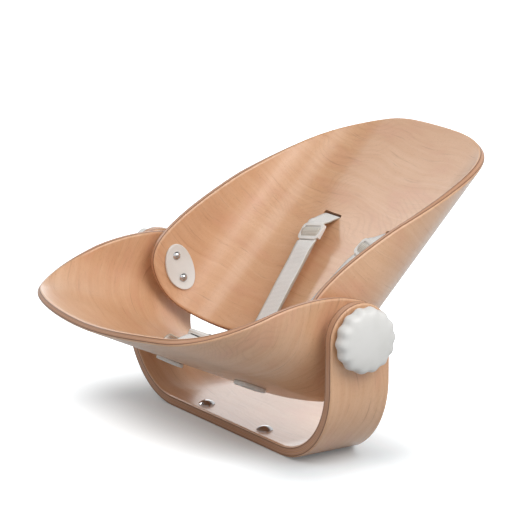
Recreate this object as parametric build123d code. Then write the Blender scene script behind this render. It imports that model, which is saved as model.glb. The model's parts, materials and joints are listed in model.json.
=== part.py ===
from build123d import *
import os
from math import asin, cos, degrees, pi, sin, sqrt

# Bentwood infant seat: two bent plywood shells tilting between the arms of a bent plywood base.
# +X points to the head end, -X to the feet, +Y is the occupant's right, Z is up, and the floor is Z = 0.
# All sizes are in millimetres.

# Base: one plywood strip bent into a U, with arms that end in a half round about the pivot
BASE_WIDTH = 384.0
BASE_DEPTH = 71.0
BASE_PLY = 11.4
BASE_BEND = 90.0
BASE_EDGE = 2.0
PIVOT_HEIGHT = 137.0

# The bottom board's belly towards the head end: half of its edge, from the arm to the middle
BELLY_TOP = 40.0
BELLY = [(BASE_DEPTH / 2, 160.0), (43.0, 128.0), (58.0, 83.0), (79.0, 36.0), (87.0, 0.0)]

# Shells: troughs in the pivot's frame, where depth is how far the floor lies below the pivot axis
SHELL_PLY = 8.0
SHELL_EDGE = 2.4
SHEET_REACH = 400.0
WALL_TOP = 80.0
FRONT_SLOPE = 25.0
FRONT_WALL = 162.0
FRONT_CORNER = 60.0
FRONT_DEPTH = 80.4
FRONT_CROWN = 504.0
BACK_SLOPE = 45.5
BACK_WALL = 141.5
BACK_CORNER = 66.0
BACK_DEPTH = 60.0
BACK_CROWN = 1400.0

# Pivot hardware
BOLT_R = 4.0
BOLT_HEAD_FLATS = 13.0
BOLT_HEAD_H = 5.3
BOLT_END_Y = 206.0
RUNNING_GAP = 0.05
PLATE_LONG = 51.0
PLATE_SHORT = 32.0
PLATE_THICK = 3.0
PLATE_LEAN = -16.0
PLATE_RISE = 2.8
SCREW_PITCH = 25.4
SCREW_R = 3.0
SCREW_HEAD_R = 4.8
SCREW_HEAD_H = 3.2
SCREW_BITE = 7.5
SEAT_DEPTH = 0.3
HUB_R = 25.0
WASHER_R = 23.0
WASHER_THICK = 1.2

# Knob
KNOB_R = 32.8
KNOB_WAVE = 0.9
KNOB_LOBES = 14
KNOB_RIM = 9.0
KNOB_DOME = 17.5
KNOB_BOSS_R = 17.0
KNOB_BOSS_H = 2.0
INSERT_R = 6.5
INSERT_LENGTH = 12.0
INSERT_DEPTH = 1.0

# Cap nuts in the bottom board, threaded from below
CAP_X = -21.0
CAP_Y = 54.5
CAP_R = 8.5
CAP_H = 4.6
CAP_EDGE = 1.0
CAP_BARREL_R = 4.6
CAP_RECESS = 0.4
CAP_THREAD_R = 3.0
CAP_THREAD_DEPTH = 10.0

# Harness
WEB_WIDTH = 26.0
WEB_THICK = 1.4
SLOT_LENGTH = 30.0
SLOT_WIDTH = 5.0
BACK_SLOT = (139.1, 55.5)
LAP_SLOT = (-18.5, 78.0)
CROTCH_SLOT_U = -72.0
KEEPER_LONG = 38.0
KEEPER_SHORT = 16.0
KEEPER_THICK = 4.0
KEEPER_WINDOW = 3.6
KEEPER_BAR = 2.8
KEEPER_GAP = 0.05
SLIDER_WIDTH = 34.0
SLIDER_LENGTH = 22.0
SLIDER_THICK = 5.2
SLIDER_CHANNEL = 2.2
SLIDER_BAR = 3.2

# Buckle, held above the front shell's floor and parallel to it, with its own origin in its middle
BUCKLE_U = -28.7
BUCKLE_N = -58.5
BUCKLE_LENGTH = 36.0
BUCKLE_WIDTH = 48.0
BUCKLE_THICK = 13.0
BUCKLE_CORNER = 8.0
POCKET_WIDTH = 36.0
POCKET_DEPTH = 26.0
POCKET_H = 3.4
CROTCH_POCKET = 9.4
RIVET_R = 1.4
RIVET_DEPTH = 1.5
RIVETS = [(-14.0, 12.5), (-8.5, 14.0)]
TONGUE_THICK = 2.4
TONGUE_HEAD = (38.0, 37.0)
TONGUE_HEAD_AT = (38.0, 20.5)
TONGUE_BLADE = (26.0, 11.0)
TONGUE_BLADE_AT = (8.0, 10.5)
SHOULDER_WINDOW = Vector(52.5, 17.0, 0)
LAP_WINDOW = Vector(35.0, 34.0, 0)
BUTTON_AT = 4.0
BUTTON_R = 8.5
BUTTON_THICK = 3.2
BUTTON_PROUD = 1.0

# Places along the cross axis, from the middle outwards
HUB_Y = FRONT_WALL + SHELL_PLY
ARM_OUT = BASE_WIDTH / 2
ARM_IN = ARM_OUT - BASE_PLY
SCREW_END_Y = HUB_Y + SCREW_BITE
WASHER_Y = ARM_IN - RUNNING_GAP - WASHER_THICK
KNOB_Y = ARM_OUT + RUNNING_GAP

ALIGN_BOTTOM = (Align.CENTER, Align.CENTER, Align.MIN)
ALIGN_TOP = (Align.CENTER, Align.CENTER, Align.MAX)
FRONT_FRAME = Location((0, 0, PIVOT_HEIGHT), (0, FRONT_SLOPE, 0))
BACK_FRAME = Location((0, 0, PIVOT_HEIGHT), (0, -BACK_SLOPE, 0))
PIVOT_FRAME = Location((0, 0, PIVOT_HEIGHT))
BUCKLE_FRAME = FRONT_FRAME * Location((BUCKLE_U, 0, BUCKLE_N))


def front_at(u, y, n):
    """World point from the front shell's frame: along the floor, across, above the pivot."""
    return (FRONT_FRAME * Location((u, y, n))).position


def back_at(u, y, n):
    """World point from the back shell's frame: along the floor, across, above the pivot."""
    return (BACK_FRAME * Location((u, y, n))).position


def buckle_at(point):
    """World point from the buckle's frame."""
    return (BUCKLE_FRAME * Location(point)).position


def across(shape, start):
    """Turn a solid drawn upwards from Z = 0 so that it points along +Y from start at the pivot."""
    return PIVOT_FRAME * Location((0, start, 0), (-90, 0, 0)) * shape


# Base frame

def base_plan():
    """Base seen from above: a straight strip with a belly on the head side."""
    half = BASE_DEPTH / 2
    belly = BELLY + [(x, -y) for x, y in reversed(BELLY[:-1])]
    edge = Spline(*belly, tangents=[(0, -1), (0, -1)])
    ends = [(half, -BASE_WIDTH), (-half, -BASE_WIDTH), (-half, BASE_WIDTH), (half, BASE_WIDTH)]
    return make_face([edge, Polyline(belly[-1], *ends, belly[0])])


def base_frame():
    """U bend trimmed to its plan, with arms that narrow above the belly and end in a half round."""
    outer = RectangleRounded(BASE_WIDTH, 4 * PIVOT_HEIGHT, BASE_BEND)
    inner = RectangleRounded(BASE_WIDTH - 2 * BASE_PLY, 4 * PIVOT_HEIGHT - 2 * BASE_PLY, BASE_BEND - BASE_PLY)
    bend = extrude(Plane.YZ * Pos(0, 2 * PIVOT_HEIGHT) * (outer - inner), BASE_WIDTH, both=True)
    side = Pos(0, PIVOT_HEIGHT) * Circle(BASE_DEPTH / 2)
    side += Pos(0, PIVOT_HEIGHT / 2) * Rectangle(BASE_DEPTH, PIVOT_HEIGHT)
    side += Pos(0, BELLY_TOP / 2) * Rectangle(BASE_WIDTH, BELLY_TOP)
    strip = bend & extrude(base_plan(), PIVOT_HEIGHT + BASE_DEPTH)
    strip &= extrude(Plane.XZ * side, BASE_WIDTH, both=True)
    strip = fillet(strip.edges(), BASE_EDGE)
    strip -= across(Cylinder(BOLT_R + RUNNING_GAP, 2 * BASE_WIDTH), 0)
    for y in (-CAP_Y, CAP_Y):
        strip -= Pos(CAP_X, y, 0) * Cylinder(CAP_BARREL_R + RUNNING_GAP, 4 * BASE_PLY)
    return strip


def base_cap_nuts():
    nut = Cylinder(CAP_BARREL_R, BASE_PLY - CAP_RECESS, align=ALIGN_BOTTOM)
    rise = CAP_H - CAP_EDGE
    ball = (CAP_R**2 + rise**2) / (2 * rise)
    dome = Cylinder(CAP_R, CAP_H, align=ALIGN_BOTTOM) & Pos(0, 0, CAP_H - ball) * Sphere(ball)
    nut = Pos(0, 0, CAP_RECESS) * nut + Pos(0, 0, BASE_PLY) * dome
    nut -= Cylinder(CAP_THREAD_R, CAP_THREAD_DEPTH, align=ALIGN_BOTTOM)
    return Compound([Pos(CAP_X, y, 0) * nut for y in (-CAP_Y, CAP_Y)])


# Shells

def corner_centre(wall, corner, depth, crown):
    """Height of a corner bend's centre above the pivot, with the corner tangent to floor and wall."""
    return crown - depth - (crown - corner) * cos(asin((wall - corner) / (crown - corner)))


def trough_sheet(wall, corner, depth, crown):
    """Sheet bent along the trough: crowned floor, round corners, upright walls."""
    tilt = asin((wall - corner) / (crown - corner))
    centre = corner_centre(wall, corner, depth, crown)

    def on_corner(angle, side):
        return (-SHEET_REACH, side * (wall - corner + corner * sin(angle)), centre - corner * cos(angle))

    def side_edges(side):
        bend = [on_corner(angle, side) for angle in (tilt, (tilt + pi / 2) / 2, pi / 2)]
        return ThreePointArc(*bend), Line(bend[2], (-SHEET_REACH, side * wall, WALL_TOP))

    floor = ThreePointArc(on_corner(tilt, -1), (-SHEET_REACH, 0, -depth), on_corner(tilt, 1))
    left_bend, left_wall = side_edges(-1)
    right_bend, right_wall = side_edges(1)
    profile = Wire([left_wall, left_bend, floor, right_bend, right_wall])
    return Shell.extrude(profile, (2 * SHEET_REACH, 0, 0))


def trimmed_shell(sheet, outline, depth):
    """Trim a bent sheet to the outline and give it the plywood's thickness and rounded edges.

    The outline is drawn on a plane at 45 degrees between floor and wall, so that one smooth line can
    run from the middle of the floor up the wall. It is the +Y half, and the other half mirrors it.
    """
    slant = Plane(origin=(0, 0, -depth), x_dir=(1, 0, 0), z_dir=(0, -1, 1))
    start, end = outline[0] @ 0, outline[-1] @ 1
    below = (0, -depth)
    closing = [Line(end, end + below), Line(end + below, start + below), Line(start + below, start)]
    cutter = extrude(slant * make_face(outline + closing), SHEET_REACH, both=True)
    cutter &= Pos(0, SHEET_REACH / 2, 0) * Box(2 * SHEET_REACH, SHEET_REACH, 2 * SHEET_REACH)
    kept = sheet & (cutter + mirror(cutter, Plane.XZ))
    board = Solid.thicken(Shell(kept.faces()), SHELL_PLY)
    return fillet(board.edges().filter_by(GeomType.LINE, reverse=True), SHELL_EDGE)


def on_slant(u, w):
    """Outline point from the distance along the trough and the sum of half width and rise."""
    return (u, w / sqrt(2))


def web_slot(u, y, along_u):
    """Cutter for a webbing slot through a shell's floor."""
    turn = 0 if along_u else 90
    return Pos(u, y, 0) * extrude(Rot(0, 0, turn) * SlotOverall(SLOT_LENGTH, SLOT_WIDTH), -200)


def front_board():
    """The front shell before its pivot holes: rounded wings at the pivot, a lip rising to the feet."""
    rim = Spline(
        on_slant(34, 0),
        on_slant(41.5, 150),
        on_slant(45.5, 222),
        on_slant(43.5, 250),
        on_slant(33, 269.5),
        on_slant(16, 277.5),
        on_slant(-5, 277),
        on_slant(-24, 272.5),
        on_slant(-48, 262.5),
        on_slant(-88, 237.5),
        on_slant(-128, 199),
        on_slant(-154, 163),
        on_slant(-175.5, 122),
        on_slant(-188.5, 0),
        tangents=[(0, 1), (0, -1)],
    )
    sheet = trough_sheet(FRONT_WALL, FRONT_CORNER, FRONT_DEPTH, FRONT_CROWN)
    board = trimmed_shell(sheet, [rim], FRONT_DEPTH)
    for y in (-LAP_SLOT[1], LAP_SLOT[1]):
        board -= web_slot(LAP_SLOT[0], y, True)
    return FRONT_FRAME * (board - web_slot(CROTCH_SLOT_U, 0, False))


def back_sheet():
    return trough_sheet(BACK_WALL, BACK_CORNER, BACK_DEPTH, BACK_CROWN)


def back_board():
    """The back shell before its pivot holes: wings at the pivot, sides falling to the head."""
    rim = Spline(
        on_slant(-18, 0),
        on_slant(-24, 91),
        on_slant(-30, 150),
        on_slant(-30.5, 190),
        on_slant(-15.5, 230),
        on_slant(33, 239),
        on_slant(84, 225),
        on_slant(131, 206.5),
        on_slant(174.5, 183),
        on_slant(224.5, 143.5),
        on_slant(261.5, 90.5),
        on_slant(275, 0),
        tangents=[(0, 1), (0, -1)],
    )
    board = trimmed_shell(back_sheet(), [rim], BACK_DEPTH)
    for y in (-BACK_SLOT[1], BACK_SLOT[1]):
        board -= web_slot(BACK_SLOT[0], y, False)
    return BACK_FRAME * board


FRONT_BOARD = front_board()
BACK_BOARD = back_board()


def front_shell():
    holes = screw_holes() + [across(Cylinder(BOLT_R + RUNNING_GAP, BASE_WIDTH, align=ALIGN_BOTTOM), 0)]
    return FRONT_BOARD - holes - [mirror(hole, Plane.XZ) for hole in holes]


def back_shell():
    holes = screw_holes()
    return BACK_BOARD - holes - [mirror(hole, Plane.XZ) for hole in holes]


# Pivot hardware, drawn on the +Y side

def lean(shape):
    """Put a shape drawn with its length along Y at the oval plate's lean, a little above the pivot."""
    return Rot(0, 0, PLATE_LEAN) * Pos(0, -PLATE_RISE, 0) * shape


def screw_axes():
    """Places of the upper and the lower plate screw, before they are turned across."""
    return [lean(Pos(0, place, 0)) for place in (-SCREW_PITCH / 2, SCREW_PITCH / 2)]


def screw_holes():
    hole = Cylinder(SCREW_R + RUNNING_GAP, SCREW_END_Y + 2 * RUNNING_GAP, align=ALIGN_BOTTOM)
    return [across(axis * hole, 0) for axis in screw_axes()]


def head_seat(axis):
    """Cross-axis place where a screw's head bears on the oval plate, which bends with the wing."""
    centre = corner_centre(BACK_WALL, BACK_CORNER, BACK_DEPTH, BACK_CROWN)
    below = min((BACK_FRAME.inverse() * across(axis, 0)).position.Z - centre, 0)
    inner = BACK_CORNER - PLATE_THICK
    return BACK_WALL - BACK_CORNER + sqrt(inner**2 - below**2) + SEAT_DEPTH


def oval_prism(start, end):
    return across(extrude(lean(Ellipse(PLATE_SHORT / 2, PLATE_LONG / 2)), end - start), start)


def oval_plate():
    """Plate bent to the inside of the back shell's wing, with a flat seat under each screw head."""
    skin = BACK_FRAME * Solid.thicken(back_sheet(), -PLATE_THICK)
    plate = skin & oval_prism(0, BASE_WIDTH)
    for axis in screw_axes():
        seat = Cylinder(SCREW_HEAD_R + RUNNING_GAP, BACK_WALL, align=ALIGN_TOP)
        plate -= across(axis * seat, head_seat(axis))
    return plate - screw_holes()


def plate_screws():
    ball = (SCREW_HEAD_R**2 + SCREW_HEAD_H**2) / (2 * SCREW_HEAD_H)
    head = Pos(0, 0, ball - SCREW_HEAD_H) * Sphere(ball) & Cylinder(SCREW_HEAD_R, SCREW_HEAD_H, align=ALIGN_TOP)
    screws = []
    for axis in screw_axes():
        seat = head_seat(axis)
        screw = head + Cylinder(SCREW_R, SCREW_END_Y - seat, align=ALIGN_BOTTOM)
        screws.append(across(axis * screw, seat))
    return Compound(screws)


def bolt_head(gap, height):
    """Hexagon with one flat turned to the lower plate screw."""
    hexagon = RegularPolygon(BOLT_HEAD_FLATS / 2 + gap, 6, major_radius=False)
    return extrude(Rot(0, 0, PLATE_LEAN) * hexagon, height)


def hub_spacer():
    """Oval block that fills the space between the two wings and holds the pivot bolt's head."""
    block = (oval_prism(0, BASE_WIDTH) - BACK_BOARD - FRONT_BOARD).solids().sort_by(Axis.Y)[1]
    depth = BOLT_HEAD_H + 2 * RUNNING_GAP
    return block - across(bolt_head(RUNNING_GAP, depth), FRONT_WALL - depth) - screw_holes()


def hub_plate():
    """Round block on the outside of the front shell's wing, with a flat face for the washer."""
    disc = across(Cylinder(HUB_R, WASHER_Y, align=ALIGN_BOTTOM), 0)
    block = (disc - FRONT_BOARD).solids().sort_by(Axis.Y)[-1]
    return block - across(Cylinder(BOLT_R + RUNNING_GAP, BASE_WIDTH, align=ALIGN_BOTTOM), 0) - screw_holes()


def friction_washer():
    disc = Cylinder(WASHER_R, WASHER_THICK, align=ALIGN_BOTTOM)
    disc -= Cylinder(BOLT_R + RUNNING_GAP, BASE_WIDTH)
    return across(disc, WASHER_Y)


def pivot_bolt():
    start = FRONT_WALL - BOLT_HEAD_H
    bolt = bolt_head(0, BOLT_HEAD_H) + Cylinder(BOLT_R, BOLT_END_Y - start, align=ALIGN_BOTTOM)
    return across(chamfer(bolt.edges().sort_by(Axis.Z)[-1], 1.0), start)


def knob():
    """Lobed knob: a waved outline, domed on the face and hollowed behind round its boss."""
    steps = 4 * KNOB_LOBES
    turns = [2 * pi * i / steps for i in range(steps)]
    radii = [KNOB_R + KNOB_WAVE * cos(KNOB_LOBES * a) for a in turns]
    wave = Spline(*[(r * cos(a), r * sin(a)) for r, a in zip(radii, turns)], periodic=True)
    tallest = KNOB_BOSS_H + KNOB_DOME
    widest = KNOB_R + KNOB_WAVE
    dome = make_face(
        [
            Line((0, 0), (0, tallest)),
            Spline(
                (0, tallest),
                (0.6 * widest, tallest - 2),
                (0.88 * widest, KNOB_BOSS_H + KNOB_RIM + 2.5),
                (widest, KNOB_BOSS_H + 3.0),
                tangents=[(1, 0), (0.15, -1)],
            ),
            Polyline(
                (widest, KNOB_BOSS_H + 3.0),
                (widest - 2, KNOB_BOSS_H),
                (KNOB_BOSS_R, KNOB_BOSS_H),
                (KNOB_BOSS_R, 0),
                (0, 0),
            ),
        ]
    )
    body = extrude(make_face(wave), tallest) & revolve(Plane.XZ * dome, Axis.Z)
    body -= Pos(0, 0, INSERT_DEPTH) * Cylinder(INSERT_R, INSERT_LENGTH, align=ALIGN_BOTTOM)
    body -= Cylinder(BOLT_R + 4 * RUNNING_GAP, BOLT_END_Y - ARM_OUT + 1, align=ALIGN_BOTTOM)
    return across(body, KNOB_Y)


def knob_insert():
    ring = Cylinder(INSERT_R, INSERT_LENGTH, align=ALIGN_BOTTOM)
    ring -= Cylinder(BOLT_R + RUNNING_GAP, BASE_WIDTH)
    return across(ring, KNOB_Y + INSERT_DEPTH)


# Harness

def ribbon(sections, wide):
    """Loft flat webbing through (point, direction) pairs, with its width kept along the wide axis."""
    faces = []
    for point, heading in sections:
        plane = Plane(origin=point, x_dir=wide, z_dir=heading)
        faces.append(plane * Rectangle(WEB_WIDTH, WEB_THICK))
    return loft(faces, ruled=True)


def samples(route, count):
    """Points and headings spread evenly along a route."""
    return [(route @ (i / count), route % (i / count)) for i in range(count + 1)]


BACK_SLOT_AT = [back_at(BACK_SLOT[0], BACK_SLOT[1], n) for n in (-73.0, -67.0)]
OUT_OF_SLOT = [back_at(138.9, 55.4, -61.5), back_at(136.9, 55.3, -57.2), back_at(129.2, 54.3, -51.0)]
SLIDER_AT = back_at(107.8, 50.0, -47.0)
STRAP_LOW = back_at(19.5, 31.0, -49.5)
STRAP_RUN = (STRAP_LOW - SLIDER_AT).normalized()


def shoulder_strap():
    top = SLIDER_AT - STRAP_RUN * (SLIDER_LENGTH / 2 + 1)
    up = BACK_FRAME.z_axis.direction
    arch = Spline(*BACK_SLOT_AT, *OUT_OF_SLOT, top, tangents=[up, STRAP_RUN])
    over_bar = [SHOULDER_WINDOW + Vector(4.3, 0.6, 3.3), SHOULDER_WINDOW + Vector(0.4, 0, 2.0)]
    into_window = [buckle_at(p) for p in over_bar + [SHOULDER_WINDOW - Vector(0, 0, 1)]]
    down = -FRONT_FRAME.z_axis.direction
    drop = Spline(STRAP_LOW, (21, 22, 86.5), *into_window, tangents=[STRAP_RUN, down])
    return ribbon(samples(arch, 14) + samples(drop, 16), (0, 1, 0))


def lap_strap():
    up = FRONT_FRAME.z_axis.direction
    foot = [front_at(LAP_SLOT[0], LAP_SLOT[1], n) for n in (-92.0, -82.0, -76.5)]
    out_of_slot = [front_at(-16.5, 76.2, -71.5), front_at(-10.5, 67, -68.0), front_at(-2, 53, -63.0)]
    over_bar = [LAP_WINDOW + Vector(0, 3.9, 2.5), LAP_WINDOW + Vector(0, 0.6, 1.6)]
    into_window = [buckle_at(p) for p in over_bar + [LAP_WINDOW - Vector(0, 0, 1)]]
    route = Spline(*foot, *out_of_slot, *into_window, tangents=[up, -up])
    return ribbon(samples(route, 26), FRONT_FRAME.x_axis.direction)


def crotch_strap():
    slot = [front_at(CROTCH_SLOT_U, 0, n) for n in (-81.0, -95.0)]
    start = -BUCKLE_LENGTH / 2 + 4
    ends = [buckle_at((start, 0, 0)), buckle_at((start - 8, 0, -1.2))]
    route = Spline(*ends, *slot, tangents=[-FRONT_FRAME.x_axis.direction, -FRONT_FRAME.z_axis.direction])
    return ribbon(samples(route, 12), (0, 1, 0))


def keeper():
    """Three-bar keeper with round ends, lying flat with its length along X."""
    plate = extrude(SlotOverall(KEEPER_LONG, KEEPER_SHORT), KEEPER_THICK / 2, both=True)
    window = Box(WEB_WIDTH + 2, KEEPER_WINDOW, 2 * KEEPER_THICK)
    place = (KEEPER_BAR + KEEPER_WINDOW) / 2
    plate -= Pos(0, place, 0) * window + Pos(0, -place, 0) * window
    return Pos(0, -place, 0) * plate


def under_floor(shape, u, y, depth, crown):
    """Lay a keeper against the underside of a shell's crowned floor."""
    drop = crown + SHELL_PLY + KEEPER_THICK / 2 + KEEPER_GAP
    return Pos(u, 0, crown - depth) * Rot(degrees(asin(y / drop)), 0, 0) * Pos(0, 0, -drop) * shape


def back_retainer():
    return BACK_FRAME * under_floor(Rot(0, 0, 90) * keeper(), *BACK_SLOT, BACK_DEPTH, BACK_CROWN)


def lap_retainer():
    return FRONT_FRAME * under_floor(keeper(), *LAP_SLOT, FRONT_DEPTH, FRONT_CROWN)


def crotch_retainer():
    return FRONT_FRAME * under_floor(Rot(0, 0, 90) * keeper(), CROTCH_SLOT_U, 0, FRONT_DEPTH, FRONT_CROWN)


def strap_slider():
    """Adjuster with end bars over the webbing and a middle bar under it."""
    frame = extrude(RectangleRounded(SLIDER_WIDTH, SLIDER_LENGTH, 3), SLIDER_THICK / 2, both=True)
    frame = chamfer(frame.edges().filter_by(Plane.XY), 0.8)
    gap = WEB_WIDTH + 1.4
    frame -= Box(gap, 2 * SLIDER_LENGTH, SLIDER_CHANNEL)
    frame -= Pos(0, 0, SLIDER_THICK / 2) * Box(gap, SLIDER_LENGTH - 2 * SLIDER_BAR, SLIDER_THICK)
    side = SLIDER_LENGTH - SLIDER_BAR
    for way in (-1, 1):
        frame -= Pos(0, way * (SLIDER_BAR + side) / 2, -SLIDER_THICK / 2) * Box(gap, side, SLIDER_THICK)
    across_web = Plane(origin=SLIDER_AT, x_dir=(0, 1, 0), z_dir=STRAP_RUN).x_dir
    return Plane(origin=SLIDER_AT, x_dir=across_web, z_dir=across_web.cross(STRAP_RUN)) * frame


def buckle_tongue():
    """Latch plate with one window for the shoulder webbing and one for the lap webbing."""
    plate = Pos(*TONGUE_HEAD_AT) * RectangleRounded(*TONGUE_HEAD, 4)
    plate += Pos(*TONGUE_BLADE_AT) * RectangleRounded(*TONGUE_BLADE, 2)
    plate -= Pos(SHOULDER_WINDOW) * Rectangle(KEEPER_WINDOW, WEB_WIDTH + 2)
    plate -= Pos(LAP_WINDOW) * Rectangle(WEB_WIDTH + 2, KEEPER_WINDOW)
    return BUCKLE_FRAME * extrude(plate, TONGUE_THICK / 2, both=True)


def buckle_body():
    """Case with a pocket for the tongues, one for the crotch webbing, a button well and blind rivet holes."""
    body = extrude(RectangleRounded(BUCKLE_LENGTH, BUCKLE_WIDTH, BUCKLE_CORNER), BUCKLE_THICK / 2, both=True)
    body = chamfer(body.edges().filter_by(Plane.XY), 2.0)
    body -= Pos((BUCKLE_LENGTH - POCKET_DEPTH) / 2, 0, 0) * Box(POCKET_DEPTH, POCKET_WIDTH, POCKET_H)
    body -= Pos(BUTTON_AT, 0, 0) * Cylinder(BUTTON_R + 0.3, BUCKLE_THICK, align=ALIGN_BOTTOM)
    body -= Pos((CROTCH_POCKET - BUCKLE_LENGTH) / 2, 0, 0) * Box(CROTCH_POCKET, WEB_WIDTH + 2, KEEPER_WINDOW)
    for x, y in RIVETS:
        for way in (-1, 1):
            body -= Pos(x, way * y, BUCKLE_THICK / 2) * Cylinder(RIVET_R, 2 * RIVET_DEPTH)
    return BUCKLE_FRAME * body


def buckle_button():
    top = BUCKLE_THICK / 2 + BUTTON_PROUD
    disc = Cylinder(BUTTON_R, BUTTON_THICK, align=ALIGN_TOP)
    disc = chamfer(disc.edges().sort_by(Axis.Z)[-1], 0.8)
    return BUCKLE_FRAME * Pos(BUTTON_AT, 0, top) * disc


SINGLE = {
    "base_frame": base_frame,
    "base_cap_nuts": base_cap_nuts,
    "front_shell": front_shell,
    "back_shell": back_shell,
    "crotch_strap": crotch_strap,
    "crotch_retainer": crotch_retainer,
    "buckle_body": buckle_body,
    "buckle_button": buckle_button,
}
PAIRED = {
    "oval_plate": oval_plate,
    "plate_screws": plate_screws,
    "hub_spacer": hub_spacer,
    "hub_plate": hub_plate,
    "friction_washer": friction_washer,
    "pivot_bolt": pivot_bolt,
    "knob": knob,
    "knob_insert": knob_insert,
    "shoulder_strap": shoulder_strap,
    "back_retainer": back_retainer,
    "strap_slider": strap_slider,
    "lap_strap": lap_strap,
    "lap_retainer": lap_retainer,
    "buckle_tongue": buckle_tongue,
}

os.makedirs("parts", exist_ok=True)
for name, make in SINGLE.items():
    export_step(make(), f"parts/{name}.step")
for name, make in PAIRED.items():
    right = make()
    export_step(right, f"parts/right_{name}.step")
    export_step(mirror(right, Plane.XZ), f"parts/left_{name}.step")
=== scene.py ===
"""Bentwood infant seat: two bent beech shells with a webbing harness, tilting in a bent plywood base."""

import json
import logging
from dataclasses import dataclass, field
from enum import Enum
from math import asin, atan2, cos, pi, radians, sin, sqrt, tan
from typing import Any, Callable, Iterable, Optional, Sequence, Union

import bmesh
import bpy
from bmesh.types import BMEdge, BMesh, BMVert
from bpy.types import Material, Object
from mathutils import Matrix, Vector

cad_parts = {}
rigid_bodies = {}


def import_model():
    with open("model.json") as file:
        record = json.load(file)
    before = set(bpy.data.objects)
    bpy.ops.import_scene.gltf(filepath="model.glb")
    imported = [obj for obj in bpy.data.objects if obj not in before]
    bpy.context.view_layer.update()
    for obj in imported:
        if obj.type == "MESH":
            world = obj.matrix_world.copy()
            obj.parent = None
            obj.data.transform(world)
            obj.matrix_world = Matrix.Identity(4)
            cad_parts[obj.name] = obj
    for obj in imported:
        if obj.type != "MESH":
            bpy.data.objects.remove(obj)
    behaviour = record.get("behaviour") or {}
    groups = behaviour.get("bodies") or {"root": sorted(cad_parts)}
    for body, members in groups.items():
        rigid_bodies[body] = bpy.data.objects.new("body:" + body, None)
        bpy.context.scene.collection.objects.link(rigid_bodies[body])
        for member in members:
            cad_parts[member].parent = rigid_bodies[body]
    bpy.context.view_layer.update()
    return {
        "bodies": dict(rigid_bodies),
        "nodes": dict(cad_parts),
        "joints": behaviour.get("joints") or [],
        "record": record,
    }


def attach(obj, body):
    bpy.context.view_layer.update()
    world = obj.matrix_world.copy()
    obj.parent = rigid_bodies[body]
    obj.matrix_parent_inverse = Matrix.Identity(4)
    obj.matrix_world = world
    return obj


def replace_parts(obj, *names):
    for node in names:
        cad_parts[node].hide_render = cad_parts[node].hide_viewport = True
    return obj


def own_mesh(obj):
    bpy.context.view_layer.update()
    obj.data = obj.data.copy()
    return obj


log = logging.getLogger("infant_seat")

MM = 0.001
PIVOT_HEIGHT = 137 * MM
WEBBING_WIDTH = 26 * MM
RIB_PITCH = 1.6 * MM
SIDEWAYS = Vector((0, 1, 0))

# Steps of a smooth route between two of its points, of a rounded corner and of a rounded edge
SPAN_STEPS = 40
CORNER_STEPS = 8
EDGE_STEPS = 3

# Angle between two faces from which their edge is rounded
SHARP = radians(40)

# Sockets of a Mix node that blends colours
MIX_AMOUNT, MIX_FIRST, MIX_SECOND, MIX_RESULT = 0, 6, 7, 2

Colour = tuple[float, float, float]


class Side(Enum):
    """The occupant's two sides, with the sign of their Y."""

    LEFT = -1
    RIGHT = 1

    def node(self, name: str) -> str:
        """Name of this side's CAD node."""
        return f"{self.name.lower()}_{name}"

    def at(self, point: Vector) -> Vector:
        """A point of the right side, moved to this side."""
        return Vector((point.x, self.value * point.y, point.z))

    def route(self, points: Iterable[Vector]) -> list[Vector]:
        """Points of the right side, moved to this side."""
        return [self.at(point) for point in points]


class Blend(Enum):
    """How two colours are joined: the second takes over, or the two are multiplied."""

    MIX = "MIX"
    MULTIPLY = "MULTIPLY"


class Rounding(Enum):
    """What a bevel rounds."""

    EDGES = "EDGES"
    CORNERS = "VERTICES"


# Shader building


def math_node(operation: str, swap: bool = False) -> Callable[..., "Term"]:
    """Make a method that joins a term and other values in a Math node.

    Args:
        operation: The node's operation.
        swap: Whether the other value comes first.

    Returns:
        The method.
    """

    def method(self: "Term", *others: Any) -> "Term":
        """Join the values in a Math node."""
        values = (*others, self) if swap else (self, *others)
        return self.graph.node("ShaderNodeMath", {"operation": operation}, dict(enumerate(values)))

    return method


class Term:
    """A shader value that takes part in plain arithmetic, where each operation is a Math node."""

    def __init__(self, graph: "Graph", socket: Optional[bpy.types.NodeSocket]) -> None:
        """Wrap a socket.

        Args:
            graph: The node graph that the socket belongs to.
            socket: The output socket to read, or None for a node without one.
        """
        self.graph = graph
        self.socket = socket

    __add__, __radd__ = math_node("ADD"), math_node("ADD", swap=True)
    __sub__, __rsub__ = math_node("SUBTRACT"), math_node("SUBTRACT", swap=True)
    __mul__, __rmul__ = math_node("MULTIPLY"), math_node("MULTIPLY", swap=True)
    __truediv__, __rtruediv__ = math_node("DIVIDE"), math_node("DIVIDE", swap=True)
    __abs__ = math_node("ABSOLUTE")
    at_least = math_node("MAXIMUM")
    below = math_node("LESS_THAN")
    sign = math_node("SIGN")
    root = math_node("SQRT")
    wave = math_node("SINE")
    fraction = math_node("FRACT")
    whole = math_node("FLOOR")

    def ramp(self, low: float, high: float) -> "Term":
        """Smooth step from zero at low to one at high."""
        inputs = {"Value": self, "From Min": low, "From Max": high}
        return self.graph.node("ShaderNodeMapRange", {"interpolation_type": "SMOOTHSTEP"}, inputs)


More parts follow.
